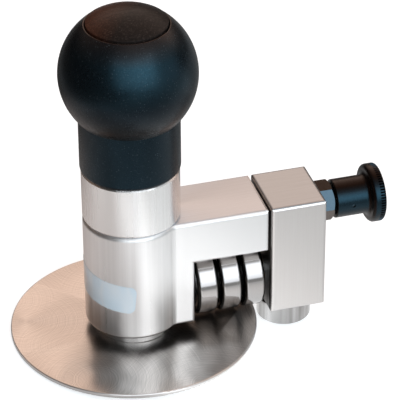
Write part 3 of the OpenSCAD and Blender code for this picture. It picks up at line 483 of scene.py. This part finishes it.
# End block: aluminium sawn from bar, its top milled along X and its sides rubbed upright on emery.
# It swings on the end of the rollers' axle, and carries the edge roller and the index plunger.
rubbed, tree, shader = new_finish("rubbed_aluminium", "#DAD6D3", 1.0, 0.32)
spots = add(tree, "TexCoord")
place = spots.outputs["Object"]
drawn = add(tree, "Mapping", {0: place, "Scale": (45, 1900, 1900)})
along = add(tree, "TexNoise", {"Vector": drawn.outputs[0], "Scale": 1.0, "Detail": 4.0, "Roughness": 0.65})
drawn = add(tree, "Mapping", {0: place, "Scale": (1500, 1500, 30)})
upright = add(tree, "TexNoise", {"Vector": drawn.outputs[0], "Scale": 1.0, "Detail": 4.0, "Roughness": 0.65})
facing = add(tree, "SeparateXYZ", {0: spots.outputs["Normal"]})
steep = add(tree, "Math", {0: facing.outputs["Z"]}, operation="ABSOLUTE")
top = add(tree, "Math", {0: steep.outputs[0], 1: 0.7}, operation="GREATER_THAN")
grain = add(tree, "Mix", {0: top.outputs[0], 2: upright.outputs[0], 3: along.outputs[0]})
tree.links.new(add(tree, "ValToRGB", {0: grain.outputs[0]}, stops=[(0.3, 0.33), (0.7, 0.37)]).outputs[0],
               shader.inputs["Roughness"])
side_shade = add(tree, "ValToRGB", {0: grain.outputs[0]}, stops=[(0.25, "#D6D1CE"), (0.75, "#DBD7D4")])
# painted tone: faces looking up or down are painted cooler and much darker than the sides
painted_top_tone = add(tree, "ValToRGB", {0: grain.outputs[0]}, stops=[(0.25, "#9FA4A8"), (0.75, "#ABB0B5")])
shade = add(tree, "Mix", {0: top.outputs[0], 6: side_shade.outputs[0], 7: painted_top_tone.outputs[0]},
            data_type="RGBA")
# painted shade: the inner face, towards the rollers, is painted dark
painted_inner_shade = add(tree, "MapRange", {"Value": facing.outputs["X"], "From Min": -0.6, "From Max": -0.95})
tree.links.new(add(tree, "Mix", {0: painted_inner_shade.outputs[0], 6: shade.outputs[2], 7: linear("#54504E")},
                   data_type="RGBA").outputs[2], shader.inputs["Base Color"])
tree.links.new(add(tree, "Bump", {"Height": grain.outputs[0], "Strength": 0.1,
                                  "Distance": 0.00004}).outputs[0], shader.inputs["Normal"])
lay_on(rubbed, "end_block")

# Edge roller: steel turned on a lathe, left bright, with rings that draw reflections upright. It runs
# on a bearing, held by a screw up into the end block.
bright, tree, shader = new_finish("turned_steel", "#C9C8C8", 1.0, 0.22)
place = add(tree, "TexCoord").outputs["Object"]
drawn = add(tree, "Mapping", {0: place, "Scale": (40, 40, 2800)})
rings = add(tree, "TexNoise", {"Vector": drawn.outputs[0], "Scale": 1.0, "Detail": 3.0})
drawn = add(tree, "Mapping", {0: place, "Scale": (220, 220, 12)})
streaks = add(tree, "TexNoise", {"Vector": drawn.outputs[0], "Scale": 1.0, "Detail": 2.0})
tree.links.new(add(tree, "ValToRGB", {0: streaks.outputs[0]}, stops=[(0.3, 0.14), (0.7, 0.3)]).outputs[0],
               shader.inputs["Roughness"])
# painted reflection: upright light and dark streaks are painted into the colour
shade = add(tree, "ValToRGB", {0: streaks.outputs[0]}, stops=[(0.32, "#928F8D"), (0.68, "#D2D0CF")])
tree.links.new(shade.outputs[0], shader.inputs["Base Color"])
tree.links.new(add(tree, "Bump", {"Height": rings.outputs[0], "Strength": 0.3,
                                  "Distance": 0.00005}).outputs[0], shader.inputs["Normal"])
shader.inputs["Anisotropic"].default_value = 0.6
shader.inputs["Anisotropic Rotation"].default_value = 0.25
tree.links.new(add(tree, "Tangent", direction_type="RADIAL", axis="Z").outputs[0], shader.inputs["Tangent"])
lay_on(bright, "edge_roller")

# Index plunger's body and the screws: steel blackened in a hot bath, blue-black where it faces sideways,
# with a painted brown reflection where it faces up and a painted lighter grey-brown where it faces down. The
# plunger's hexagon stands on the end block's outer face.
black, tree, shader = new_finish("blackened_steel", "#4C5B65", 1.0, 0.3)
spots = add(tree, "TexCoord")
place = spots.outputs["Object"]
facing = add(tree, "SeparateXYZ", {0: spots.outputs["Normal"]}).outputs["Z"]
# painted reflection: faces looking up are painted brown, faces looking down a lighter grey-brown
upward = add(tree, "MapRange", {"Value": facing, "From Min": 0.6, "From Max": 0.9})
bath = add(tree, "TexNoise", {"Vector": place, "Scale": 700.0, "Detail": 4.0})
blue = add(tree, "ValToRGB", {0: bath.outputs[0]}, stops=[(0.3, "#40505B"), (0.7, "#4E606B")])
painted_brown_reflection = add(tree, "ValToRGB", {0: bath.outputs[0]}, stops=[(0.3, "#1A110A"), (0.7, "#21160E")])
sides = add(tree, "Mix", {0: upward.outputs[0], 6: blue.outputs[0], 7: painted_brown_reflection.outputs[0]}, data_type="RGBA")
down = add(tree, "MapRange", {"Value": facing, "From Min": -0.25, "From Max": -0.5})
tree.links.new(add(tree, "Mix", {0: down.outputs[0], 6: sides.outputs[2], 7: linear("#655C57")},
                   data_type="RGBA").outputs[2], shader.inputs["Base Color"])
tree.links.new(add(tree, "ValToRGB", {0: bath.outputs[0]}, stops=[(0.3, 0.26), (0.7, 0.42)]).outputs[0],
               shader.inputs["Roughness"])
lay_on(black, "plunger_body", "collar_screws", "grip_bolt", "axle_end_screw", "disc_screws",
       "edge_roller_screw", "spindle_circlip", "knob_cross_pin")

# Pull knob: black nylon, moulded with a satin skin and fine grooves on its flange. A cross pin holds
# it on the index pin's tail.
knob, tree, shader = new_finish("satin_nylon", "#0A0605", 0.0, 0.34)
spots = add(tree, "TexCoord")
place = spots.outputs["Object"]
facing = add(tree, "SeparateXYZ", {0: spots.outputs["Normal"]})
# painted reflection colour: the specular tint follows the facing, painted blue on the front like the window
# and brown where it faces up, inward or down
upward = add(tree, "MapRange", {"Value": facing.outputs["Z"], "From Min": 0.5, "From Max": 0.9})
inward = add(tree, "MapRange", {"Value": facing.outputs["X"], "From Min": -0.25, "From Max": -0.6})
down = add(tree, "MapRange", {"Value": facing.outputs["Z"], "From Min": -0.15, "From Max": -0.7})
painted_brown_reflection = add(tree, "Math", {0: upward.outputs[0], 1: inward.outputs[0]}, operation="MAXIMUM")
painted_brown_reflection = add(tree, "Math", {0: painted_brown_reflection.outputs[0], 1: down.outputs[0]}, operation="MAXIMUM")
painted_reflection_tint = add(tree, "ValToRGB", {0: painted_brown_reflection.outputs[0]}, stops=[(0.0, "#90DCFF"), (1.0, "#75503A")])
tree.links.new(painted_reflection_tint.outputs[0], shader.inputs["Specular Tint"])
skin = add(tree, "TexNoise", {"Vector": place, "Scale": 2600.0, "Detail": 2.0})
tree.links.new(add(tree, "ValToRGB", {0: skin.outputs[0]}, stops=[(0.3, 0.24), (0.7, 0.38)]).outputs[0],
               shader.inputs["Roughness"])
tree.links.new(add(tree, "Bump", {"Height": skin.outputs[0], "Strength": 0.12,
                                  "Distance": 0.00005}).outputs[0], shader.inputs["Normal"])
shader.inputs["Specular IOR Level"].default_value = 0.56
lay_on(knob, "pull_knob")

low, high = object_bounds()
